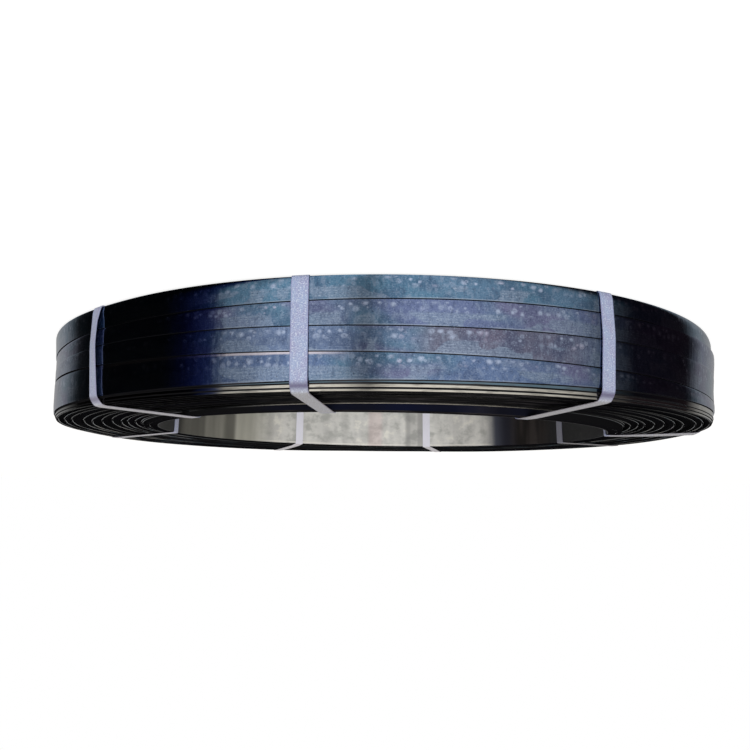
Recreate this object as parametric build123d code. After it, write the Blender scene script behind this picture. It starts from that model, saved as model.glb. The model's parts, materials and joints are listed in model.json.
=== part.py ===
from build123d import *
from math import atan2, cos, degrees, radians
import os

# A coil of blued steel strip, wound back and forth in rows and tied by plastic
# straps. Millimetres, +Z along the coil's axis, the ragged end up, the floor at
# zero. The front, between the two closest straps, faces -Y.

strip_width = 19.0
strip_thickness = 0.8
strip_rows = 4
layers = 131
layer_slack = 0.02
bore_radius = 278.0

# Each row of strip leans in by this much, so the edge of the next one stands proud.
row_lean = 0.6

# The turns under the last layer stand past it at the ragged end, a pass of the
# winding at a time: one layer up and one layer down.
end_rise = 6.5
layers_per_pass = 2
rim_rise_shares = (0.0, 0.43, 0.84, 1.0)

# Bunches of turns from the rim to the bore: how much of the way each takes, and how
# far it lies below the proudest ones.
end_depth = 7.0
top_width_shares = (0.07, 0.10, 0.08, 0.12, 0.10, 0.12, 0.09, 0.11, 0.09, 0.12)
top_drop_shares = (0.0, 0.40, 0.15, 0.60, 0.35, 0.75, 0.30, 0.80, 0.55, 1.0)
bottom_width_shares = (0.20, 0.18, 0.24, 0.18, 0.20)
bottom_drop_shares = (0.0, 0.60, 0.0, 0.75, 0.0)

# The innermost bunch has slid askew: its end tilts about a level a little under the
# rim's, and is highest at this angle from the front.
inner_width = 15.0
inner_drop = 0.65
inner_tilt = 4.1
inner_high_angle = 37.0

# The end of the strip: the last row of the outer layer stops short at the back.
tail_angle = 117.0
tail_gap_angle = 42.0

tie_width = 13.0
tie_thickness = 0.6
tie_gap = 0.45
# Turned from the front towards -X, in degrees.
tie_angles = (-149.0, -96.0, -39.2, -8.8, 26.0, 77.0, 110.0, 163.5)

layer_pitch = strip_thickness + layer_slack
outer_radius = bore_radius + layers * layer_pitch
# The coil stands on the straps under it.
coil_bottom = tie_thickness + tie_gap
row_levels = [coil_bottom + row * strip_width for row in range(strip_rows + 1)]


def heading(angle):
    """Turn about the axis that takes +X to this angle from the front."""
    return Rot(0, 0, -90 - angle)


def rim_corner(step):
    """Upper corner of a layer at the rim, counted in passes from the outermost one."""
    radius = outer_radius - row_lean - step * layers_per_pass * layer_pitch
    return radius, row_levels[-1] + end_rise * rim_rise_shares[step]


def bunches(first_radius, last_radius, width_shares, drop_shares):
    """Outer radius, inner radius and drop of each bunch, from the outermost one inwards."""
    scale = (first_radius - last_radius) / sum(width_shares)
    rings = []
    radius = first_radius
    for width_share, drop_share in zip(width_shares, drop_shares):
        inner = radius - scale * width_share
        rings.append((radius, inner, end_depth * drop_share))
        radius = inner
    return rings


rim_corners = [rim_corner(step) for step in range(len(rim_rise_shares))]
rim_radius, coil_top = rim_corners[-1]
inner_radius = bore_radius + inner_width
inner_level = coil_top - inner_drop
top_rings = bunches(rim_radius, inner_radius, top_width_shares, top_drop_shares)
bottom_rings = bunches(outer_radius, bore_radius, bottom_width_shares, bottom_drop_shares)


def inner_end(radius, angle):
    """Level of the innermost bunch's tilted end."""
    return inner_level + inner_tilt * radius / bore_radius * cos(radians(angle - inner_high_angle))


def coil_section():
    """Closed section of the coil: leaning rows, stepped rim, ragged end, bore and lower end."""
    points = []
    for low, high in zip(row_levels, row_levels[1:]):
        points.append((outer_radius, low))
        points.append((outer_radius - row_lean, high))
    for (_, low), (radius, high) in zip(rim_corners, rim_corners[1:]):
        points.append((radius, low))
        points.append((radius, high))
    points.pop()
    for outer, inner, drop in top_rings:
        points.append((outer, coil_top - drop))
        points.append((inner, coil_top - drop))
    # The innermost bunch is left tall here, for its tilted end.
    tall = coil_top + 2 * inner_tilt
    points += [(inner_radius, tall), (bore_radius, tall)]
    for outer, inner, drop in reversed(bottom_rings):
        points.append((inner, coil_bottom + drop))
        points.append((outer, coil_bottom + drop))
    points.pop()
    return points


def turned(points, angle=360.0):
    """Solid of a closed section turned about the axis, starting from +X."""
    face = make_face(Polyline(*[(radius, 0, level) for radius, level in points], close=True))
    return revolve(face, Axis.Z, angle)


def tail_cut():
    """What the missing stretch of the last row leaves free, one strip deep."""
    low, high = row_levels[-2:]
    free = outer_radius + strip_thickness
    sunk = outer_radius - row_lean - strip_thickness
    section = [(free, low), (free, high), (sunk, high), (sunk, low)]
    return heading(tail_angle + tail_gap_angle) * turned(section, tail_gap_angle)


def inner_cut():
    """What lies over the innermost bunch's tilted end."""
    span = 2 * outer_radius
    over = Box(span, span, inner_tilt * 4, align=(Align.CENTER, Align.CENTER, Align.MIN))
    slope = degrees(atan2(inner_tilt, bore_radius))
    return heading(inner_high_angle) * Pos(0, 0, inner_level) * Rot(0, -slope, 0) * over & inner_space()


def inner_space():
    """The room the innermost bunch can stand in, over the deepest bunch."""
    low, high = coil_top - end_depth, coil_top + 4 * inner_tilt
    return turned([(inner_radius, low), (inner_radius, high), (bore_radius / 2, high), (bore_radius / 2, low)])


def pulled_over(corners):
    """Corners that a strap touches when it is pulled tight over these, from the rim inwards."""
    kept = []
    for radius, level in corners:
        while len(kept) > 1:
            (r0, z0), (r1, z1) = kept[-2:]
            if (r1 - r0) * (level - z0) - (z1 - z0) * (radius - r0) > 0:
                break
            kept.pop()
        kept.append((radius, level))
    return kept


def tie(angle):
    """Strap pulled tight round the coil's section at this angle."""
    corners = [(outer_radius, row_levels[-2]), *rim_corners]
    for outer, inner, drop in top_rings:
        corners += [(outer, coil_top - drop), (inner, coil_top - drop)]
    corners += [(radius, inner_end(radius, angle)) for radius in (inner_radius, bore_radius)]
    hull = [(outer_radius, coil_bottom), *pulled_over(corners), (bore_radius, coil_bottom)]
    core = Plane.XZ * make_face(Polyline(*hull, close=True))
    inside = offset(core, tie_gap, kind=Kind.INTERSECTION)
    band = offset(core, tie_gap + tie_thickness) - inside
    return heading(angle) * extrude(band, tie_width / 2, both=True)


os.makedirs("parts", exist_ok=True)
coil = turned(coil_section()) - tail_cut() - inner_cut()
export_step(coil, "parts/strip_coil.step")
for number, angle in enumerate(tie_angles, 1):
    export_step(tie(angle), f"parts/tie_{number}.step")
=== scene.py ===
import json
from math import atan2, degrees, pi, radians, tau

import bpy
import numpy as np
from mathutils import Matrix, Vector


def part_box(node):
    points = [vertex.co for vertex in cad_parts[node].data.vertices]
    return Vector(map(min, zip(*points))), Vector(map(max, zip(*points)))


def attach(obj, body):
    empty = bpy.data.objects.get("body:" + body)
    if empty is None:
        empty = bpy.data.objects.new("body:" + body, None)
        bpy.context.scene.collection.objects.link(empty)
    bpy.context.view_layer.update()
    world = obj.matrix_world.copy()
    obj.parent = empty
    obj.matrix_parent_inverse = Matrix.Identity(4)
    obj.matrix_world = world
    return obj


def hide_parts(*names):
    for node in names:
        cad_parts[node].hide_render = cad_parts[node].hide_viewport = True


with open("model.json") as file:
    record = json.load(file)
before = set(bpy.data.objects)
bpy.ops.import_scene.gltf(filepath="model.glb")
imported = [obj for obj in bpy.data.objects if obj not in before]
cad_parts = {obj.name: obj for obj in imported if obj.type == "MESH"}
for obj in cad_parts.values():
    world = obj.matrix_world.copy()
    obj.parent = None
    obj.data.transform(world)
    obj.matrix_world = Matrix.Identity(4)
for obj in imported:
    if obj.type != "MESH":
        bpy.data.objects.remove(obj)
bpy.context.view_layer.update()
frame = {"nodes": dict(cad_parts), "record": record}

# A coil of blued steel strip lying on its lower end, in metres, as the frame gives it:
# +Z is the coil's axis and -Y the front. Angles run from the front towards -X.

MM = 0.001

coil_low, coil_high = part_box("strip_coil")
bore_mount = next(m for m in frame["record"]["mounts"] if m["name"] == "bore")
OUTER = coil_high.x
BORE = bore_mount["dims"]["r_mm"] * MM
BASE = coil_low.z
TIES = sorted(name for name in frame["nodes"] if name.startswith("tie_"))

# The strip, and its last layer on the wall
STRIP_WIDTH = 19 * MM
STRIP_THICKNESS = 0.8 * MM
ROWS = 4
ROWS_TOP = BASE + ROWS * STRIP_WIDTH
SEAM_GAP = 0.85 * MM
ROW_LEAN = 0.25 * MM
WALL_LEAN = 2.4 * MM
FOOT_TUCK = 1.4 * MM
TOP_ROUND = 0.5 * MM
LEFT_SWELL = 1.8 * MM
RIGHT_SWELL = 2.2 * MM
EDGE_CURL = 0.15 * MM
EDGE_ROUND = 0.16 * MM
SHARP = radians(50)
TAIL = radians(117)
STEP_ARC = radians(42)

# Cuts round the coil, in its wall and bore and in its two ends
ROUND = 288
UPPER_ROUND = 168
LOWER_ROUND = 144

# The turns under the last layer stand past it, and the innermost bunch lies askew.
RIM_TOP = ROWS_TOP + 6.5 * MM
RIM_RISE = 2.2 * MM
BLUE_RISE = 0.55 * MM
FIRST_RISE = 3.75 * MM
FIRST_BAND = 2.0 * MM
SECOND_BAND = 1.45 * MM
RIM_DEPTH = 2.8 * MM
HALF_HEIGHT = (BASE + RIM_TOP) / 2
UPPER_OUTER = OUTER - 3.95 * MM
LOWER_OUTER = OUTER - 2.3 * MM
WOUND_INNER = BORE + STRIP_THICKNESS + 0.1 * MM
INNER_WIDTH = 15 * MM
INNER_LEVEL = RIM_TOP - 0.65 * MM
INNER_TILT = 4.1 * MM
INNER_HIGH = radians(37)
INNER_SLIP = 0.7 * MM
BORE_DROP = 0.3 * MM
BORE_DENT = 0.03 * MM

# A turn's edge on an end: its bevel, the knee where that starts, and the narrow stretches
# in which bare steel gives way to matt black.
EDGE_BEVEL = 0.27 * MM
KNEE_IN = 0.05 * MM
KNEE_DOWN = 0.22 * MM
LID_FADE = 0.06 * MM
WALL_FADE = 0.08 * MM
LINES_PER_TURN = 9
MATT = (0, 1)
BLUED_WALL = 0.42

TIE_WIDTH = 13 * MM
TIE_THICKNESS = 0.6 * MM
TIE_ROUND = 0.2 * MM
TIE_REACH = 0.65 * MM
# How far each strap slides round the coil, in millimetres: at the foot, the middle and the
# rim of the wall, and in the bore.
TIE_SLIDES = {
    "tie_2": (-10, -10, -10, 19),
    "tie_3": (6, 3.8, 10.5, -5),
    "tie_4": (1.5, 1.8, 2.3, -2.9),
    "tie_5": (1.5, 2.9, -0.6, 5),
    "tie_7": (0, 0, 0, -4),
}
# Two straps stand a little on edge, one along the wall and one over the end.
WALL_TWISTS = {"tie_3": 0.16}
END_TWISTS = {"tie_6": 0.11}
# Some straps are paler or darker than the rest; tie_7, deep in the bore, is darkened as painted shade.
PLAIN_TONE = 0.5
TIE_TONES = {"tie_1": 1.0, "tie_2": 0.65, "tie_3": 0.64, "tie_5": 0.40, "tie_7": 0.1, "tie_8": 1.0}

# A strap is too stiff for the rim's corner and goes round it in a wider bend.
BEND_RADIUS = 9.0 * MM
BEND_INSET = 10.9 * MM
BEND_DEPTH = 8.4 * MM
BEND = np.radians(np.arange(0, 91, 7.5))
RIM_BEND = np.stack([
    OUTER - BEND_INSET + BEND_RADIUS * np.cos(BEND),
    RIM_TOP - BEND_DEPTH + BEND_RADIUS * np.sin(BEND),
], axis=1)
WIDEST_BEND = 8 * MM
CLOSEST_BEND = 0.4 * MM
BEND_STEPS = 7
SHORTEST_EDGE = 0.8 * MM
LONGEST_CUT = 6 * MM

random = np.random.default_rng(11)


def select_only(piece):
    """Leave this piece alone selected and active."""
    bpy.ops.object.select_all(action="DESELECT")
    piece.select_set(True)
    bpy.context.view_layer.objects.active = piece


def finish_with(piece, kind, **settings):
    """Add a modifier with these settings and apply it."""
    select_only(piece)
    modifier = piece.modifiers.new(kind.title(), kind)
    for name, value in settings.items():
        setattr(modifier, name, value)
    bpy.ops.object.modifier_apply(modifier=modifier.name)


def close_up(piece, angle):
    """Merge doubles, point the faces outwards and smooth what is flatter than this angle."""
    select_only(piece)
    bpy.ops.object.mode_set(mode="EDIT")
    bpy.ops.mesh.select_all(action="SELECT")
    bpy.ops.mesh.remove_doubles(threshold=0.01 * MM)
    bpy.ops.mesh.normals_make_consistent(inside=False)
    bpy.ops.object.mode_set(mode="OBJECT")
    bpy.ops.object.shade_smooth_by_angle(angle=radians(angle))


def flat_strip(name, length_cuts, width_cuts):
    """A flat strip one unit square, cut into a grid, before it is wound."""
    bpy.ops.object.select_all(action="DESELECT")
    bpy.ops.mesh.primitive_grid_add(x_subdivisions=length_cuts, y_subdivisions=width_cuts, size=1)
    piece = bpy.context.object
    piece.name = piece.data.name = name
    return piece


def corners_of(piece):
    """The piece's points, one in each row."""
    mesh = piece.data
    flat = np.zeros(len(mesh.vertices) * 3)
    mesh.vertices.foreach_get("co", flat)
    return flat.reshape(-1, 3)


def shares_of(piece):
    """How far along and across a flat strip each of its points lies, as shares."""
    return corners_of(piece).T[:2] + 0.5


def lay(piece, points):
    """Carry a flat strip's points to these places."""
    piece.data.vertices.foreach_set("co", np.ascontiguousarray(points).ravel())
    piece.data.update()


def closer_at_edges(across):
    """Crowd the cuts along a strip towards its edges, so that the faces between them stay flat."""
    return across - 0.9 * np.sin(tau * across) / tau


def wind(piece, path):
    """Wind a flat strip; path takes shares along and across it to places."""
    along, across = shares_of(piece)
    across = closer_at_edges(across)
    lay(piece, path(along, across))
    return along, across


def note(piece, name, values):
    """Keep a number at each point of the piece, for its material."""
    attribute = piece.data.attributes.new(name, "FLOAT", "POINT")
    attribute.data.foreach_set("value", np.asarray(values, np.float32))


def round_the_axis(angle, radius, height):
    """Points at these angles from the front, radii and heights."""
    return np.stack([-radius * np.sin(angle), -radius * np.cos(angle), height], axis=-1)


def smooth_step(x):
    """0 up to 0, 1 from 1 on and smooth between them."""
    x = np.clip(x, 0, 1)
    return x * x * (3 - 2 * x)


def window_at(angle, middle, edge, soft):
    """1 round this angle in degrees, and 0 where the cosine of the way from it is under edge."""
    return smooth_step((np.cos(angle - radians(middle)) - edge) / soft)


def bump_at(angle, middle, half_width):
    """1 at this angle in degrees, smoothly down to 0 at half the width to each side."""
    edge = np.cos(radians(half_width))
    return window_at(angle, middle, edge, 1 - edge)


def rim_rise(angle):
    """How much further the turns stand out towards the back at both sides."""
    return RIM_RISE * (bump_at(angle, 128, 45) + bump_at(angle, -128, 45))


def row_seam(row, angle):
    """Height over the coil's base of the seam under a row, wandering a little round the coil."""
    swing = np.sin(angle)
    wander = np.stack([
        0.25 - 0.3 * np.sin(2 * angle),
        -0.4 - 2.2 * swing - 0.8 * np.sin(2 * angle),
        -1.4 + 2.0 * swing + 1.0 * np.cos(4 * angle),
        -0.8 + 9.5 * swing - 1.0 * np.sin(3 * angle),
        -1.1 - 2.6 * swing,
    ]) * MM
    low = np.clip(np.floor(row).astype(int), 0, ROWS)
    high = np.minimum(low + 1, ROWS)
    blend = np.clip(row, 0, ROWS) - low
    pick = np.arange(len(angle))
    drift = (1 - blend) * wander[low, pick] + blend * wander[high, pick]
    return np.clip(row, 0, ROWS) * STRIP_WIDTH + drift


def outer_turn(along):
    """Angle and row of the last layer, which steps up a row at the back in every turn."""
    turned = STEP_ARC + along * (ROWS * tau - STEP_ARC)
    lap, past = np.divmod(turned, tau)
    return TAIL + turned, np.maximum(lap - 1 + smooth_step(past / STEP_ARC), 0)


def outer_path(along, across):
    """Places on the last layer: its seams are tight or wide here and there, and its wall swells."""
    angle, row = outer_turn(along)
    lowest = 1 - smooth_step(row)
    left_side = bump_at(angle, -61, 28)
    right_side = bump_at(angle, 61, 28)

    tight = window_at(angle, -72, 0.8, 0.15) * (np.abs(row - 1) < 0.5)
    tight += window_at(angle, 70, 0.75, 0.15) * (row < 1.5)
    wide = window_at(angle, -75, 0.75, 0.15) * (np.abs(row - 2) < 0.5)
    gap = SEAM_GAP * (1 - 0.95 * tight + 1.2 * wide) * (row < ROWS - 1.02)
    low = row_seam(row, angle)
    high = row_seam(row + 1, angle) - gap
    height = low + (high - low) * across
    rows_up = height / STRIP_WIDTH

    curl = EDGE_CURL * np.exp(-across / 0.03)
    tuck = FOOT_TUCK * lowest * (1 - left_side) * (1 - np.clip(across / 0.36, 0, 1)) ** 2
    rounded = TOP_ROUND * smooth_step(row - ROWS + 2) * smooth_step((across - 0.8) / 0.2)
    swell = RIGHT_SWELL * right_side * (1 - lowest) * np.clip((2.7 - rows_up) / 1.6, 0, 1)
    swell += LEFT_SWELL * left_side * lowest * (1 - 0.6 * across)
    lean = ROW_LEAN * across + WALL_LEAN * rows_up / ROWS
    return round_the_axis(angle, OUTER + swell - curl - tuck - rounded - lean, BASE + height)


def outer_strip():
    """The last layer of strip, one ribbon wound in four rows, its end cut square at the back."""
    piece = flat_strip("outer_strip", ROWS * ROUND, 8)
    along, across = wind(piece, outer_path)
    angle, row = outer_turn(along)
    note(piece, "across", across)
    note(piece, "row", row)
    note(piece, "run", (angle - TAIL) * OUTER / MM)
    finish_with(piece, "SOLIDIFY", thickness=STRIP_THICKNESS, offset=1)
    finish_with(piece, "BEVEL", width=EDGE_ROUND, segments=2, limit_method="ANGLE")
    close_up(piece, 40)
    return piece


def inner_end(radius, angle):
    """Height of the innermost bunch's tilted end."""
    return INNER_LEVEL + INNER_TILT * radius / BORE * np.cos(angle - INNER_HIGH)


def bore_path(along, across):
    """Places on the first layer, with a faint dent where its rows meet."""
    angle = along * tau
    top = inner_end(BORE, angle) - BORE_DROP
    rows_up = across * ROWS
    dent = BORE_DENT * np.exp(-np.abs(rows_up - np.round(rows_up)) / 0.02)
    return round_the_axis(angle, BORE + dent, BASE + (top - BASE) * across)


def bore_turns():
    """The first layer, whose smooth faces line the bore."""
    piece = flat_strip("bore_turns", ROUND, 48)
    _, across = wind(piece, bore_path)
    note(piece, "across", across)
    close_up(piece, 40)
    finish_with(piece, "SOLIDIFY", thickness=STRIP_THICKNESS, offset=0)
    finish_with(piece, "BEVEL", width=EDGE_ROUND, segments=2, limit_method="ANGLE", angle_limit=SHARP)
    close_up(piece, 40)
    return piece


def bunched(rings, fewest, most):
    """For each ring its share of the way through its bunch, and whether it starts one."""
    share, starts = np.zeros(rings), np.zeros(rings)
    first = 0
    while first < rings:
        count = int(random.integers(fewest, most))
        last = min(first + count, rings)
        share[first:last] = np.linspace(0, 1, count)[: last - first]
        starts[first] = 1
        first = last
    return share, starts


def wandering(rings, angle, step, jitter):
    """Slow waves round the coil that drift from ring to ring, between 0 and 1."""
    drift = np.cumsum(np.full(rings, step) + random.normal(0, jitter, rings))[:, None]
    return np.abs((angle - drift + pi) % tau - pi) / pi


def laid_bare(angle):
    """1 where the last layer steps up a row and leaves the layer under it in sight."""
    return window_at(angle, degrees(TAIL + STEP_ARC / 2), np.cos(radians(27)), 0.03)


def ring_loops(radii, level, tall, bare, dull, way):
    """Lines round the turns of a stack: radius, height, bareness and how much of a lid each is."""
    loops = []
    for ring, (outer, inner) in enumerate(zip(radii, radii[1:])):
        top, edge = level[ring], tall[ring]
        shine = (bare[ring], dull[ring])
        loops.append((outer, top - way * (edge + WALL_FADE), *MATT))
        loops.append((outer, top - way * edge, *shine))
        loops.append((outer - KNEE_IN, top - way * KNEE_DOWN, *shine))
        loops.append((outer - EDGE_BEVEL, top, *shine))
        loops.append((outer - EDGE_BEVEL - LID_FADE, top, *MATT))
        loops.append((inner + EDGE_BEVEL + LID_FADE, top, *MATT))
        loops.append((inner + EDGE_BEVEL, top, *shine))
        loops.append((inner, top - way * EDGE_BEVEL, *shine))
        loops.append((inner, top - way * (EDGE_BEVEL + LID_FADE), *MATT))
    return loops


def rim_loops(angle):
    """The turns that stand out past the last layer: a blue one and two with bare bright edges."""
    swing = np.sin(angle)
    to_right, to_left = np.maximum(swing, 0), np.maximum(-swing, 0)
    hair = 0.1 * MM
    foot = BASE + row_seam(np.full(len(angle), float(ROWS)), angle)
    start = foot + (0.7 + 0.6 * to_left) * MM
    blue = ROWS_TOP + BLUE_RISE + (2.2 * to_right ** 2 + 1.8 * to_left) * MM
    first = ROWS_TOP + FIRST_RISE + (1.2 * to_right ** 2 + 1.0 * to_left) * MM + rim_rise(angle) / 2
    second = RIM_TOP - 0.05 * MM + rim_rise(angle)

    # How bare the blue turn and the two bright ones are: barer at the sides, by wear and painted glint,
    # and darkened on the left by painted shade.
    painted_shade_left = smooth_step(3 * bump_at(angle, -38, 22))
    wear_and_side_glint = smooth_step((swing - 0.5) / 0.3) + smooth_step((-swing - 0.8) / 0.1)
    clean = 0.38 + 0.45 * wear_and_side_glint - 0.26 * painted_shade_left
    bright = 0.95 - 0.2 * swing ** 2 - 0.62 * painted_shade_left
    dimmer = bright - 0.1
    seen = laid_bare(angle)

    # Insets in millimetres, heights, bareness and lids
    profile = (
        (0.00, foot - 0.6 * MM, BLUED_WALL * seen, 1 - seen),
        (0.00, foot, *MATT),
        (0.02, start, *MATT),
        (0.04, start + hair, clean, 0),
        (0.10, blue - hair, clean, 0),
        (0.20, blue, *MATT),
        (0.60, blue - hair, *MATT),
        (0.65, first - FIRST_BAND - hair, *MATT),
        (0.68, first - FIRST_BAND, dimmer, 0),
        (0.85, first - 2 * hair, bright, 0),
        (0.95, first, *MATT),
        (1.60, first - hair, *MATT),
        (1.65, second - SECOND_BAND - hair, *MATT),
        (1.68, second - SECOND_BAND, dimmer, 0),
        (1.80, second - hair, bright, 0),
        (1.90, second, *MATT),
    )
    return [(UPPER_OUTER - inset * MM, height, shine, lid) for inset, height, shine, lid in profile]


def upper_loops(angle, rings=62):
    """The ragged end: bunches of turns at wandering levels, sinking towards a tilted innermost bunch."""
    radii = np.linspace(UPPER_OUTER - RIM_DEPTH, WOUND_INNER, rings + 1)
    share = (np.arange(rings) + 0.5)[:, None] / rings
    turn = angle[None, :]
    saw, starts = bunched(rings, 4, 8)

    # How deep each turn lies under the rim, in millimetres
    hollow = 3.4 * smooth_step(share / 0.75)
    waves = 0
    for count in (2, 3, 5):
        drift = np.cumsum(random.normal(0, 0.35, rings))[:, None]
        waves = waves + 0.22 * np.sin(count * turn + drift)
    depth = hollow + 1.7 * saw[:, None] + 1.8 * wandering(rings, turn, radians(47), 0.25) + waves - 0.9
    depth = np.clip(depth * smooth_step(share / 0.06), 0.1, 7.5)
    level = RIM_TOP + rim_rise(turn) * (1 - share) - depth * MM
    inner = radii[1:] < BORE + INNER_WIDTH
    slip = INNER_SLIP * random.uniform(0, 1, rings)[:, None]
    level = np.where(inner[:, None], inner_end(radii[1:, None], turn) - slip, level)

    # How bare its edge is: a bunch starts with a worn one, which shows most at the coil's sides and less
    # behind; that rise at the sides is painted glint.
    first_in_bunch = random.uniform(0.42, 0.70, rings)[:, None]
    worn = 0
    for count in (7, 13, 23, 37):
        worn = worn + np.sin(count * turn + random.uniform(0, tau, rings)[:, None])
    behind = smooth_step((-np.cos(turn) - 0.2) / 0.4)
    beside = smooth_step((0.75 - np.cos(turn)) / 0.5) * (1 - 0.5 * behind)
    wear_and_side_glint = first_in_bunch * beside * smooth_step(0.5 + 0.45 * worn)
    at_front = 0.14 + 0.15 * random.uniform(0, 1, rings)[:, None]
    bare = np.where(starts[:, None], at_front + wear_and_side_glint, 0.06 + 0.08 * wear_and_side_glint)
    tall = np.where(starts, 0.55, 0.25) * MM
    dull = np.repeat(1 - starts[:, None], len(angle), axis=1)

    # The turn beside the innermost bunch stands over its neighbours, with a pale edge at the front
    last = np.flatnonzero(~inner)[-1]
    pale = bump_at(angle, 4, 34)
    level[last] = RIM_TOP - (3.0 + 0.25 * np.sin(3 * angle)) * MM
    level[last - 4:last] = np.minimum(level[last - 4:last], level[last] - 0.9 * MM)
    bare[last] = 0.55 + 0.45 * pale
    tall[last] = 0.70 * MM
    dull[last] = 0.5 * pale
    bare[last + 1] = 0.0
    tall[last + 1] = 0.10 * MM
    loops = ring_loops(radii, level, tall, bare, dull, 1)

    # The innermost bunch shows its blued outer face
    dark_tone = bump_at(angle, 5, 30) * (0.65 + 0.35 * np.sin(9 * angle + 1.2) * np.sin(23 * angle))
    face = (last + 1) * LINES_PER_TURN
    for line in range(face - 1, face + 4):
        radius, height, _, _ = loops[line]
        loops[line] = (radius, height, dark_tone, 1)
    return rim_loops(angle) + loops


def lower_loops(angle, rings=40):
    """The end that the coil lies on, more even than the ragged one."""
    radii = np.linspace(LOWER_OUTER, WOUND_INNER, rings + 1)
    share = (np.arange(rings) + 0.5)[:, None] / rings
    slow = np.cumsum(random.normal(0, 0.6, rings))[:, None]
    depth = 2.2 + 2.0 * wandering(rings, angle[None, :], radians(70), 0.3) + 1.4 * np.sin(slow)
    depth *= smooth_step(share / 0.06) * smooth_step((1 - share) / 0.06)
    level = BASE + np.clip(depth, 0.3, 6) * MM
    tall = np.full(rings, 0.3 * MM)
    bare = random.uniform(0.1, 0.4, rings)
    seen = laid_bare(angle)
    wall = (LOWER_OUTER, BASE + 1.2 * MM, BLUED_WALL * seen, 1 - seen)
    return [wall] + ring_loops(radii, level, tall, bare, np.zeros(rings), -1)


def turn_stack(name, cuts, loops_round):
    """A sheet wrapped round the turns of one end, from half height over the end and back."""
    angle = np.arange(cuts + 1) * tau / cuts
    loops = loops_round(angle)
    outer, _, bare, lid = loops[0]
    wall = (outer, HALF_HEIGHT, bare, lid)
    loops = [wall, *loops, (WOUND_INNER, HALF_HEIGHT, *MATT), wall]
    radii, heights, bare, lid = (
        np.array([value + 0 * angle for value in column]) for column in zip(*loops))
    piece = flat_strip(name, cuts, len(loops) - 1)
    along, across = shares_of(piece)
    step = np.rint(along * cuts).astype(int)
    loop = np.rint(across * (len(loops) - 1)).astype(int)
    lay(piece, round_the_axis(angle[step], radii[loop, step], heights[loop, step]))
    note(piece, "bare", bare[loop, step])
    note(piece, "lid", lid[loop, step])
    close_up(piece, 30)
    return piece


def tight_outline(points):
    """Corners of the tightest loop round these points, anticlockwise."""
    points = points[np.lexsort((points[:, 1], points[:, 0]))]
    slack = 0.02 * MM
    halves = []
    for row in (points, points[::-1]):
        kept = []
        for x, y in row:
            while len(kept) > 1:
                (x0, y0), (x1, y1) = kept[-2:]
                turn = (x1 - x0) * (y - y0) - (y1 - y0) * (x - x0)
                if turn > slack * np.hypot(x - x0, y - y0):
                    break
                kept.pop()
            kept.append((x, y))
        halves += kept[:-1]
    return np.array(halves)


def strap_loop(corners):
    """Closed line along the middle of a strap: it clears the corners and bends round them."""
    spans = np.linalg.norm(corners - np.roll(corners, 1, axis=0), axis=1)
    corners = corners[spans > SHORTEST_EDGE]
    ahead = np.roll(corners, -1, axis=0) - corners
    edge = np.linalg.norm(ahead, axis=1)
    ahead /= edge[:, None]
    out = np.stack([ahead[:, 1], -ahead[:, 0]], axis=1)
    room = np.minimum(edge, np.roll(edge, 1)) / 2
    bends = []
    for corner, before, after, free in zip(corners, np.roll(out, 1, axis=0), out, room):
        dot = before @ after
        turn = np.arctan2(before[0] * after[1] - before[1] * after[0], dot)
        half = np.cos(turn / 2)
        close = (TIE_REACH - CLOSEST_BEND * half) / (1 - half + 1e-9)
        radius = min(close, TIE_REACH + free / np.tan(turn / 2), WIDEST_BEND)
        middle = corner + (before + after) / (1 + dot) * (TIE_REACH - radius)
        for step in np.linspace(0, turn, BEND_STEPS):
            c, s = np.cos(step), np.sin(step)
            spoke = np.array([c * before[0] - s * before[1], s * before[0] + c * before[1]])
            bends.append(middle + radius * spoke)
    loop = []
    for start, stop in zip(bends, bends[1:] + bends[:1]):
        cuts = max(1, int(np.linalg.norm(stop - start) / LONGEST_CUT))
        loop += [start + (stop - start) * k / cuts for k in range(cuts)]
    return np.array(loop + loop[:1])


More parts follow.
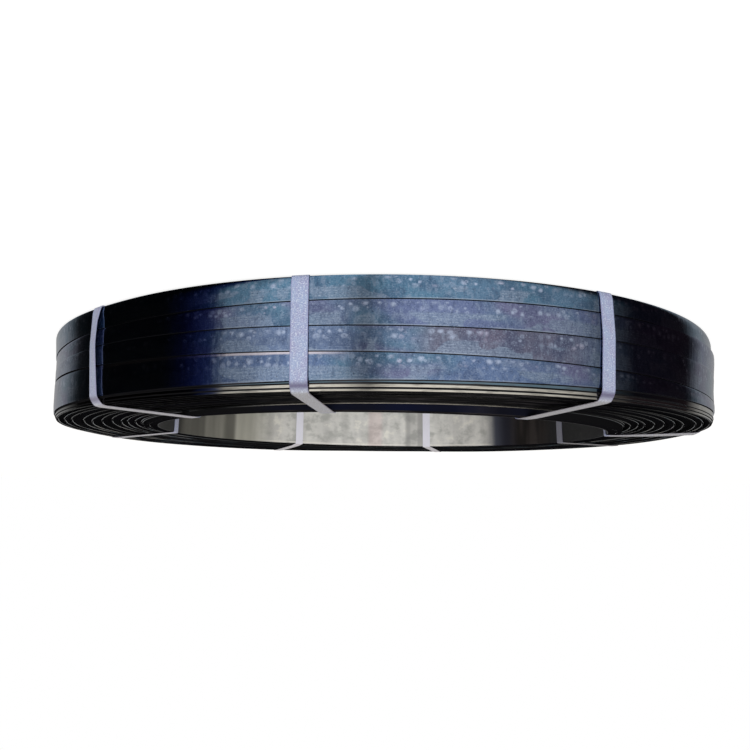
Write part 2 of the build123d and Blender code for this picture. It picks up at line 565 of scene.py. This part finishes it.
def tie_strap(name, wound):
    """A strap: a flat band wrapped tight round the coil's section and closed on itself."""
    low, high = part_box(name)
    heading = atan2(-(low.x + high.x), -(low.y + high.y))
    away = np.array([-np.sin(heading), -np.cos(heading)])
    aside = np.array([-np.cos(heading), np.sin(heading)])
    near = (np.abs(wound[:, :2] @ aside) < TIE_WIDTH * 0.6) & (wound[:, :2] @ away > 0)
    section = np.stack([wound[near, :2] @ away, wound[near, 2]], axis=1)
    loop = strap_loop(tight_outline(np.concatenate([section, RIM_BEND])))
    length = np.concatenate([[0], np.cumsum(np.linalg.norm(np.diff(loop, axis=0), axis=1))])
    foot, middle, rim, bore = np.array(TIE_SLIDES.get(name, (0, 0, 0, 0))) * MM
    count = len(loop) - 1
    marks = np.arange(count + 1)

    def place(along):
        """Radius and height of points along the strap, and how far in and up they are, as shares."""
        reach = np.interp(along * count, marks, loop[:, 0])
        height = np.interp(along * count, marks, loop[:, 1])
        inwards = np.clip((OUTER - reach) / (OUTER - BORE), 0, 1)
        upwards = np.clip((height - BASE) / (RIM_TOP - BASE), 0, 1)
        return reach, height, inwards, upwards

    def path(along, across):
        """Places on the strap, slid and twisted as it is."""
        reach, height, inwards, upwards = place(along)
        slide = np.interp(upwards, (0, 0.4, 1), (foot, middle, rim)) * (1 - inwards) + bore * inwards
        on_wall = np.clip(1 - inwards / 0.04, 0, 1) * smooth_step(upwards / 0.2)
        on_wall = on_wall * (1 - 0.6 * upwards ** 4)
        on_end = smooth_step(inwards / 0.1) * smooth_step((1 - inwards) / 0.6) * (upwards > 0.5)
        reach = reach + WALL_TWISTS.get(name, 0) * on_wall * across * TIE_WIDTH
        height = height + END_TWISTS.get(name, 0) * on_end * across * TIE_WIDTH
        angle = heading + slide / reach
        side = (across - 0.5) * TIE_WIDTH
        return round_the_axis(angle, reach, height) + round_the_axis(angle + pi / 2, side, 0 * side)

    piece = flat_strip(name + "_strap", count, 6)
    along, across = wind(piece, path)
    _, _, inwards, upwards = place(along)
    over_end = smooth_step(inwards / 0.08) * smooth_step((1 - inwards) / 0.03) * (upwards > 0.5)
    # Where the strap bends round the rim, for the painted shade its material puts there
    at_rim = smooth_step((upwards - 0.90) / 0.06) * (1 - smooth_step((inwards - 0.02) / 0.03))
    note(piece, "along", np.interp(along * count, marks, length) / MM)
    note(piece, "across", across * TIE_WIDTH / MM)
    note(piece, "end", over_end)
    note(piece, "bend", at_rim)
    note(piece, "tone", np.full(len(along), TIE_TONES.get(name, PLAIN_TONE)))
    close_up(piece, 60)
    finish_with(piece, "SOLIDIFY", thickness=TIE_THICKNESS, offset=0)
    finish_with(piece, "BEVEL", width=TIE_ROUND, segments=2, limit_method="ANGLE", angle_limit=SHARP)
    close_up(piece, 45)
    return piece


class Wire:
    """An output of a shader tree: arithmetic on it adds Math nodes, and node() any other node."""

    def __init__(self, tree, socket=None):
        self.tree = tree
        self.socket = socket

    def node(self, kind, settings=None, sockets=None, output=0):
        """A new node of this type, with its settings made first and then its sockets."""
        made = self.tree.nodes.new(kind)
        for name, value in (settings or {}).items():
            if name == "stops":
                ramp = made.color_ramp.elements
                while len(ramp) < len(value):
                    ramp.new(0.5)
                for element, (place, shade) in zip(ramp, value):
                    element.position = place
                    element.color = shade
            else:
                setattr(made, name, value)
        for key, value in (sockets or {}).items():
            if isinstance(value, Wire):
                self.tree.links.new(value.socket, made.inputs[key])
            else:
                made.inputs[key].default_value = value
        return Wire(self.tree, made.outputs[output])

    def maths(self, operation, *values):
        return self.node("ShaderNodeMath", {"operation": operation}, dict(enumerate(values)))

    def __add__(self, other):
        return self.maths("ADD", self, other)

    def __sub__(self, other):
        return self.maths("SUBTRACT", self, other)

    def __rsub__(self, other):
        return self.maths("SUBTRACT", other, self)

    def __mul__(self, other):
        return self.maths("MULTIPLY", self, other)

    def __truediv__(self, other):
        return self.maths("DIVIDE", self, other)

    __radd__ = __add__
    __rmul__ = __mul__

    def ramp(self, low, high):
        """0 at low, 1 at high and smooth between them."""
        return self.node("ShaderNodeMapRange", {"interpolation_type": "SMOOTHSTEP"},
                         {"Value": self, "From Min": low, "From Max": high})

    def stretch(self, start, full, fading, stop):
        """1 between the two middle places, 0 outside the outer ones and smooth between them."""
        return self.ramp(start, full) * (1 - self.ramp(fading, stop))

    def mix(self, under, over):
        """One colour over another, by this value."""
        return self.node("ShaderNodeMix", {"data_type": "RGBA"}, {0: self, 6: under, 7: over}, output=2)

    def shades(self, *stops):
        """The colours at these stops, by this value."""
        return self.node("ShaderNodeValToRGB", {"stops": stops}, {0: self})

    def point(self, y, z=0.0):
        return self.node("ShaderNodeCombineXYZ", sockets={0: self, 1: y, 2: z})

    def parts(self):
        """The three numbers of a vector."""
        apart = self.node("ShaderNodeSeparateXYZ", sockets={0: self}).socket.node
        return [Wire(self.tree, output) for output in apart.outputs]

    def scaled(self, x, y, z=1.0):
        return self.node("ShaderNodeMapping", sockets={"Vector": self, "Scale": (x, y, z)})

    def noise(self, detail=2.0, roughness=0.5):
        return self.node("ShaderNodeTexNoise", sockets={
            "Vector": self, "Scale": 1.0, "Detail": detail, "Roughness": roughness})

    def patches(self, length, width, detail=2.0, roughness=0.5):
        """Noise with patches about this long and wide, in the units of this point."""
        return self.scaled(1 / length, 1 / width).noise(detail, roughness)

    def cells(self, output):
        return self.node("ShaderNodeTexVoronoi", {"voronoi_dimensions": "2D"},
                         {"Vector": self, "Scale": 1.0}, output)

    def bump(self, strength, distance):
        """The normal of a surface with this height."""
        return self.node("ShaderNodeBump", sockets={
            "Strength": strength, "Distance": distance, "Height": self})

    def attribute(self, name):
        return self.node("ShaderNodeAttribute", {"attribute_name": name}, output="Fac")

    def object_place(self):
        return self.node("ShaderNodeTexCoord", output="Object")

    def light_path(self, output):
        return self.node("ShaderNodeLightPath", output=output)


def colour(red, green, blue):
    return (red, green, blue, 1.0)


def new_material(name):
    """A bare material: its shader, and a wire that starts its tree."""
    material = bpy.data.materials.new(name)
    material.use_nodes = True
    return material, material.node_tree.nodes["Principled BSDF"], Wire(material.node_tree)


def plug(shader, **sockets):
    """Set the shader's sockets by their names, with spaces written as underscores."""
    for name, value in sockets.items():
        socket = shader.inputs[name.replace("_", " ")]
        if isinstance(value, Wire):
            value.tree.links.new(value.socket, socket)
        else:
            socket.default_value = value


def on_row(row, *angles):
    """Angles in degrees on a row of the last layer, as millimetres along the strip."""
    return [(row * tau + (radians(angle) - TAIL) % tau) * OUTER / MM for angle in angles]


def blued_strip():
    """Blued strip: hues that drift along it, pale blots near one edge, dotted streaks near the other."""
    material, shader, tree = new_material("blued_strip")
    # Millimetres along and across the strip
    run = tree.attribute("run")
    across = tree.attribute("across") * (STRIP_WIDTH / MM)
    row = tree.attribute("row")
    flat = run.point(across)

    # Hues: each row has its own, which drifts, with a brown stretch and darker clouds
    own = (row / ROWS).shades(
        (0.0, colour(0.105, 0.220, 0.335)),
        (0.25, colour(0.150, 0.190, 0.345)),
        (0.5, colour(0.160, 0.222, 0.365)),
        (0.75, colour(0.135, 0.200, 0.360)),
    )
    teal_to_violet = flat.patches(75, 40).ramp(0.42, 0.62)
    other = teal_to_violet.mix(colour(0.105, 0.215, 0.320), colour(0.180, 0.188, 0.325))
    drift = flat.patches(150, 60).ramp(0.46, 0.56) * (0.15 + 0.85 * row.ramp(0.3, 0.7))
    base = drift.mix(own, other)
    brown = run.stretch(*on_row(2, 2, 6, 20, 26))
    base = (brown * 0.7).mix(base, colour(0.165, 0.140, 0.185))
    clouds = flat.patches(34, 26).ramp(0.52, 0.36)
    base = (clouds * 0.45).mix(base, colour(0.050, 0.078, 0.160))

    # Streaks, dotted, in blocks with abrupt ends
    blocks = flat.patches(40, 26, 1.0).ramp(0.485, 0.505)
    waver = flat.patches(36, 3.5)
    lines = 0.25 + 0.75 * tree.maths("SINE", across * (tau / 1.9) + waver * 9).ramp(-0.8, 0.9)
    dots = flat.patches(2.2, 1.2, 4.0, 0.7)
    high_edge = across.ramp(8.0, 10.5)
    streaks = lines * dots.ramp(0.42, 0.66) * high_edge * (0.18 + 0.82 * blocks)
    base = (blocks * high_edge * 0.60).mix(base, colour(0.205, 0.275, 0.390))
    base = (streaks * 0.60).mix(base, colour(0.44, 0.52, 0.64))

    # Blots, soft and uneven, a few of them rings
    bent = flat.patches(2.2, 2.2)
    spread = flat.scaled(1 / 6.8, 1 / 6.2)
    apart = spread.cells("Distance") + (bent - 0.5) * 0.34
    pick, _, _ = spread.cells("Color").parts()
    outwards = apart / (0.12 + 0.34 * pick)
    blot = 1 - outwards.ramp(0.0, 1.30)
    hollow = (1 - outwards.ramp(0.0, 0.7)) * tree.maths("FRACT", pick * 7.3).ramp(0.66, 0.70)
    belt = across.stretch(0.8, 2.6, 7.5, 11.0)
    groups = flat.patches(38, 60, 1.0).ramp(0.36, 0.52)
    blots = blot * (1 - 0.7 * hollow) * belt * (0.30 + 0.70 * groups) * pick.ramp(0.0, 0.25)
    rosy = flat.patches(30, 30, 1.0).ramp(0.58, 0.68)
    base = (blots * 0.85).mix(base, rosy.mix(colour(0.52, 0.60, 0.78), colour(0.54, 0.53, 0.69)))

    # Smudges of a few millimetres, and specks
    smudge = flat.patches(4.0, 8.0, 3.0, 0.6)
    base = (smudge.ramp(0.48, 0.32) * 0.35).mix(base, colour(0.040, 0.060, 0.120))
    base = (smudge.ramp(0.50, 0.66) * 0.38).mix(base, colour(0.30, 0.37, 0.49))
    speck = flat.patches(1.3, 1.1, 3.0, 0.65)
    base = (speck.ramp(0.54, 0.72) * 0.65).mix(base, colour(0.38, 0.46, 0.60))
    base = (speck.ramp(0.46, 0.28) * 0.7).mix(base, colour(0.025, 0.040, 0.085))

    # Bare edges, and a line on the uppermost row that another turn has rubbed
    edge = across.ramp(17.9, 18.4) * flat.patches(45, 90).ramp(0.42, 0.56)
    base = (edge * 0.45).mix(base, colour(0.40, 0.46, 0.56))
    rubbed = run.stretch(*on_row(3, -37, -33, -8, -2)) * (across + waver * 1.6).ramp(2.9, 1.9)
    base = (rubbed * (0.55 + 0.4 * dots)).mix(base, colour(0.80, 0.72, 0.76))

    relief = streaks * 0.4 + blots * 0.5 + speck * 0.3
    height = relief * 0.02 + flat.patches(6, 16) * 0.15
    plug(shader, Base_Color=base, Metallic=1.0, Roughness=0.08 + 0.05 * dots + 0.06 * blots)
    plug(shader, Normal=height.bump(1.0, 0.4 * MM))
    return material


def turn_edges():
    """Edges of the turns: near black in the end, blue or bare where a bunch stands out."""
    material, shader, tree = new_material("turn_edges")
    place = tree.object_place()
    bare = tree.attribute("bare")
    lid = tree.attribute("lid")
    x, y, _ = place.parts()
    radius = tree.maths("SQRT", x * x + y * y)
    along = tree.maths("ARCTAN2", x * -1, y * -1) * (OUTER / MM)
    degree = radians(1) * OUTER / MM

    # Bare steel, from black through blue to bright, with dull grains
    tint = bare.shades(
        (0.0, colour(0.004, 0.005, 0.012)),
        (0.2, colour(0.028, 0.028, 0.026)),
        (0.3, colour(0.058, 0.056, 0.046)),
        (0.37, colour(0.120, 0.190, 0.240)),
        (0.6, colour(0.36, 0.37, 0.37)),
        (1.0, colour(0.70, 0.65, 0.55)),
    )
    grain = place.scaled(90, 90, 900).noise(3.0)
    tint = (grain.ramp(0.54, 0.30) * 0.5).mix(tint, colour(0.10, 0.09, 0.08))

    # Matt black, with cracks between the layers, drawn-out streaks at the front and blued faces
    layer = tree.maths("FRACT", radius / (0.81 * MM))
    crack = 1 - tree.maths("ABSOLUTE", layer - 0.5).ramp(0.10, 0.30)
    black = crack.mix(colour(0.008, 0.008, 0.009), colour(0.002, 0.002, 0.003))
    drawn = along.point(radius / MM).patches(90, 2.5, 3.0, 0.6)
    facing = along.stretch(-20 * degree, -14 * degree, 20 * degree, 34 * degree)
    black = (drawn.ramp(0.48, 0.66) * facing * 0.65).mix(black, colour(0.055, 0.050, 0.054))
    black = bare.mix(black, colour(0.0065, 0.0085, 0.025))

    plug(shader, Base_Color=lid.mix(tint, black), Metallic=1 - lid)
    plug(shader, Roughness=0.05 + 0.56 * lid, Specular_IOR_Level=0.0)
    return material


def bore_steel():
    """The bore's wall: bare and dull at the back, with upright smears and a few specks; towards the
    front it is painted shade, near black.
    """
    material, shader, tree = new_material("bore_steel")
    # Millimetres round the bore, counted from the front, and up its wall, taken as this tall
    wall_height = 78
    x, y, _ = tree.object_place().parts()
    run = (tree.maths("ARCTAN2", x, y) + pi) * (BORE / MM)
    degree = radians(1) * BORE / MM
    across = tree.attribute("across") * wall_height
    flat = run.point(across)
    smear = flat.patches(22, 150)
    haze = flat.patches(30, 24, 4.0, 0.6)
    fine = flat.patches(60, 0.8)
    speck = flat.patches(5, 5, 1.0)

    # Bare steel, hazy, with a bright brim, a pink stretch, a dull one with two lines, and specks
    base = smear.ramp(0.35, 0.65).mix(colour(0.58, 0.58, 0.56), colour(0.74, 0.74, 0.71))
    base = (haze.ramp(0.54, 0.34) * 0.8).mix(base, colour(0.40, 0.41, 0.39))
    base = (haze.ramp(0.54, 0.70) * 0.8).mix(base, colour(0.88, 0.87, 0.80))
    brim = across.stretch(74.6, 75.2, 76.6, 77.2)
    base = (brim * 0.6).mix(base, colour(0.90, 0.89, 0.82))
    pink = run.stretch(179 * degree, 181 * degree, 184 * degree, 186 * degree)
    base = (pink * 0.35).mix(base, colour(0.68, 0.50, 0.50))
    dull = run.stretch(163 * degree, 165 * degree, 170.5 * degree, 172 * degree)
    lines = run.ramp(169 * degree, 170 * degree) + run.ramp(167.2 * degree, 166.4 * degree)
    base = (dull * (0.35 + 0.3 * lines)).mix(base, colour(0.27, 0.27, 0.27))
    base = speck.ramp(0.79, 0.82).mix(base, colour(0.05, 0.05, 0.05))

    # Painted shade: it darkens in steps to one side, each between two angles, and through blue and brown
    # to near black on the other.
    steps = ((218, 232, 0.47), (236, 238, 0.17), (240.5, 243, 0.27), (250, 252, 0.12), (262, 266, 0.035))
    for start, stop, tone in steps:
        shaded = tree.node("ShaderNodeMix", {"data_type": "RGBA", "blend_type": "MULTIPLY"}, {
            0: 1.0, 6: colour(tone, tone, tone * 0.88), 7: smear * 0.8 + 0.6}, output=2)
        base = run.ramp(start * degree, stop * degree).mix(base, shaded)
    dark_tone = fine.mix(colour(0.008, 0.009, 0.011), colour(0.024, 0.025, 0.028))
    brown = smear.ramp(0.40, 0.64).mix(colour(0.014, 0.012, 0.012), colour(0.040, 0.034, 0.033))
    base = run.ramp(141.5 * degree, 136.5 * degree).mix(base, colour(0.075, 0.083, 0.112))
    base = run.ramp(138.5 * degree, 132.5 * degree).mix(base, colour(0.023, 0.024, 0.036))
    base = run.ramp(133 * degree, 127 * degree).mix(base, brown)
    base = run.ramp(118 * degree, 112 * degree).mix(base, dark_tone)
    base = run.ramp(266 * degree, 272 * degree).mix(base, dark_tone)
    plug(shader, Base_Color=base, Metallic=0.25, Roughness=0.36 + 0.10 * fine, Specular_IOR_Level=0.2)
    return material


def strap_plastic():
    """Off-white strap with a fine pressed diamond pattern and darker borders."""
    material, shader, tree = new_material("strap_plastic")
    along = tree.attribute("along")
    across = tree.attribute("across")
    tone = tree.attribute("tone")
    flat = along.point(across)
    diamond = 2.0
    left = tree.maths("SINE", (along + across) * (tau / diamond))
    right = tree.maths("SINE", (along - across) * (tau / diamond))
    press = left * right
    grime = flat.patches(11, 6, 4.0, 0.6)
    glint = flat.patches(0.9, 1.3, 2.0, 0.7)
    border = across.stretch(0.2, 1.0, 12.0, 12.8)

    base = grime.ramp(0.35, 0.70).mix(colour(0.33, 0.41, 0.64), colour(0.33, 0.33, 0.55))
    # Painted shade: over the coil's end the strap turns a warm grey
    base = tree.attribute("end").mix(base, colour(0.45, 0.43, 0.43))
    base = (press.ramp(-0.2, 0.7) * border * 0.5).mix(base, colour(0.54, 0.64, 0.88))
    base = (glint.ramp(0.48, 0.66) * border * 0.8).mix(base, colour(0.78, 0.86, 0.98))
    base = ((1 - border) * 0.35).mix(base, colour(0.22, 0.22, 0.38))
    # Painted shade, dark purple, where the strap bends round the rim
    base = (tree.attribute("bend") * 0.92).mix(base, colour(0.13, 0.115, 0.21))
    # Tones over the plain one pale a strap and tones under it darken one; the darkest, deep in the bore,
    # is painted shade.
    base = (tone.ramp(PLAIN_TONE, 1.0) * 0.85).mix(base, colour(0.86, 0.86, 0.94))
    base = (tone.ramp(PLAIN_TONE, 0.0) * 0.80).mix(base, colour(0.15, 0.14, 0.145))
    plug(shader, Base_Color=base, Roughness=0.45)
    plug(shader, Normal=(press * border).bump(0.5, 0.2 * MM))
    return material


def dress(piece, material, slot, *nodes):
    """Give a piece its material and the body it rides on, and hide the parts it stands for; slot is not
    used.
    """
    piece.data.materials.clear()
    piece.data.materials.append(material)
    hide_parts(*nodes)
    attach(piece, "root")


upper = turn_stack("upper_turns", UPPER_ROUND, upper_loops)
lower = turn_stack("lower_turns", LOWER_ROUND, lower_loops)
last_layer = outer_strip()
first_layer = bore_turns()
wound = np.concatenate([corners_of(piece) for piece in (upper, lower, last_layer, first_layer)])
edges = turn_edges()
dress(last_layer, blued_strip(), "blued_strip", "strip_coil")
dress(first_layer, bore_steel(), "blued_strip", "strip_coil")
dress(upper, edges, "blued_strip", "strip_coil")
dress(lower, edges, "blued_strip", "strip_coil")
plastic = strap_plastic()
for tie in TIES:
    dress(tie_strap(tie, wound), plastic, "tie_strap", tie)


def pale_floor():
    """A pale floor that keeps the coil's shadow and reads white to the camera."""
    bpy.ops.object.select_all(action="DESELECT")
    bpy.ops.mesh.primitive_plane_add(size=60, location=(0, 0, 0))
    floor = bpy.context.object
    floor.name = "floor"
    material, shader, tree = new_material("floor")
    glow = tree.light_path("Is Camera Ray").mix(colour(0, 0, 0), colour(0.8, 0.8, 0.8))
    plug(shader, Base_Color=colour(0.45, 0.45, 0.45), Roughness=0.9)
    plug(shader, Emission_Color=glow, Emission_Strength=1.0)
    floor.data.materials.append(material)
    floor.visible_glossy = False


def grey(light):
    return colour(light, light, light)


def studio():
    """White to the camera; for the metal, soft lights and dark cloths hung round the coil."""
    world = bpy.data.worlds.new("studio")
    bpy.context.scene.world = world
    world.use_nodes = True
    tree = Wire(world.node_tree)
    x, y, z = tree.node("ShaderNodeTexCoord", output="Generated").parts()
    turn = tree.maths("ARCTAN2", x * -1, y * -1) / tau + 0.5

    # Degrees from the front, and what hangs there
    hung = (
        # Behind on the left, and a black cloth with a blue edge
        (-150, grey(0.40)), (-126, grey(0.36)), (-114, grey(0.014)), (-104, grey(0.004)),
        (-70, grey(0.003)), (-63, colour(0.004, 0.005, 0.020)), (-57, colour(0.020, 0.024, 0.080)),
        (-53, colour(0.05, 0.065, 0.14)),
        # The left light, brighter towards the middle
        (-50.5, grey(0.33)), (-48.5, grey(0.52)), (-43, grey(0.58)), (-38.5, grey(0.70)),
        (-35, grey(0.92)), (-30, grey(1.0)), (-19, grey(0.96)), (-14, grey(0.90)),
        # The gap between the lights
        (-11, grey(0.76)), (-7, grey(0.43)), (-4.5, grey(0.38)), (0, grey(0.72)),
        # The right light, dimmer towards the side
        (3, grey(0.94)), (13, grey(1.0)), (26, grey(0.94)), (36, grey(0.84)), (46, grey(0.70)),
        (56, grey(0.68)), (64, grey(0.53)),
        # A warm dark cloth, and behind on the right
        (75, grey(0.10)), (84, colour(0.019, 0.013, 0.017)), (112, colour(0.015, 0.010, 0.012)),
        (123, grey(0.33)), (150, grey(0.36)),
    )
    round_about = turn.shades(*[(0.5 + angle / 360, shade) for angle, shade in hung])
    mirrored = z.ramp(0.62, 0.9).mix(round_about, colour(0.14, 0.138, 0.135))
    lights = tree.light_path("Is Glossy Ray").mix(colour(0.48, 0.445, 0.41), mirrored)
    sky = tree.light_path("Is Camera Ray").mix(lights, grey(1.0))
    background = world.node_tree.nodes["Background"]
    plug(background, Color=sky, Strength=1.0)


def front_lamp():
    """A wide soft lamp in front of the coil and a little above it."""
    tilt = (radians(72), 0, radians(-6))
    bpy.ops.object.light_add(type="AREA", location=(-0.4, -4.0, 1.3), rotation=tilt)
    lamp = bpy.context.object
    lamp.data.shape = "RECTANGLE"
    lamp.data.size = 4.0
    lamp.data.size_y = 2.2
    lamp.data.energy = 115
    lamp.visible_glossy = False


def camera():
    """The photograph's view: from a little above the coil, with the picture turned upside down."""
    picture_pixels = 750
    focal_pixels = 583.2
    data = bpy.data.cameras.new("camera")
    data.sensor_width = 36
    data.lens = data.sensor_width * focal_pixels / picture_pixels
    eye = bpy.data.objects.new("camera", data)
    bpy.context.scene.collection.objects.link(eye)
    stand = (-0.0016, -0.7729, 0.1454)
    yaw, pitch, roll = 0.0143, 0.1836, 0.0086
    eye.matrix_world = (
        Matrix.Translation(stand)
        @ Matrix.Rotation(-yaw, 4, "Z")
        @ Matrix.Rotation(pi / 2 - pitch, 4, "X")
        @ Matrix.Rotation(pi + roll, 4, "Z")
    )
    bpy.context.scene.camera = eye


pale_floor()
studio()
front_lamp()
camera()
bpy.context.scene.view_settings.view_transform = "Standard"
